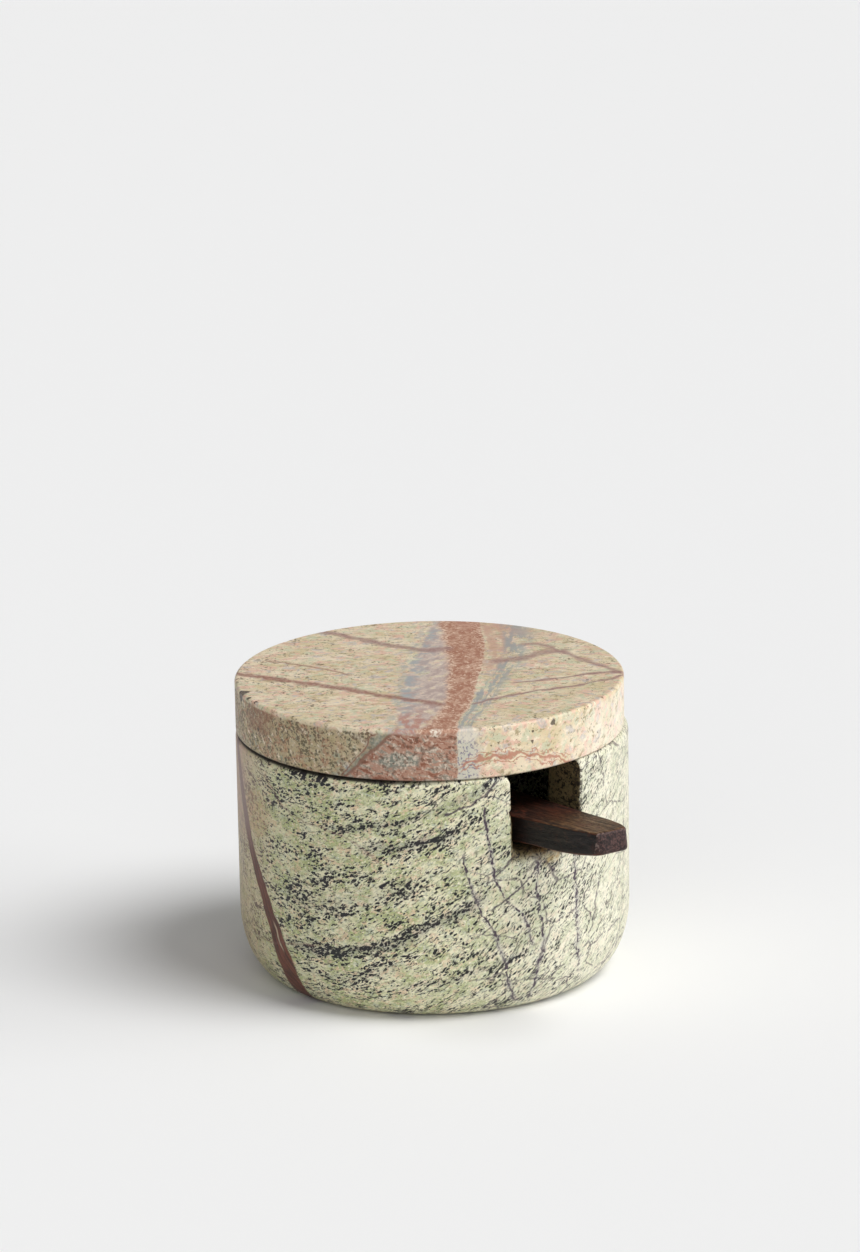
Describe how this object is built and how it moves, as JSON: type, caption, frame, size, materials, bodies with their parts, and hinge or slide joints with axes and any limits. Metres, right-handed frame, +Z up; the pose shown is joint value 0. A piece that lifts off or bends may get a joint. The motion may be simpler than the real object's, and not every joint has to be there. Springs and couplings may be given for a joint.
{
  "type": "salt cellar",
  "caption": "Round stone salt pot with a rounded foot, a loose stone disc lid and a rim notch that holds a flat wooden spoon by its handle.",
  "frame": {"origin": "centre of the pot's flat foot, on the table", "axes": "+Z up, +X from the pot's axis through the middle of the notch in its rim, the way the spoon's handle points"},
  "size_m": [0.1158, 0.09, 0.069],
  "materials": {
    "pot_stone": "honed, pale yellow-green with dark flecks and veins",
    "lid_stone": "honed, beige with a rust band and grey-violet veins",
    "spoon_wood": "oiled dark wood"
  },
  "bodies": {
    "pot": {"pot": "pot_stone"},
    "lid": {"lid": "lid_stone"},
    "spoon": {"spoon": "spoon_wood"}
  },
  "joints": [
    {"name": "lid_lift", "type": "slide", "parent": "pot", "child": "lid", "axis": [0, 0, 1], "range_m": [0, 0.06]},
    {"name": "spoon_draw", "type": "slide", "parent": "pot", "child": "spoon", "axis": [0.9895, -0.0225, 0.1426], "range_m": [0, 0.08]}
  ]
}
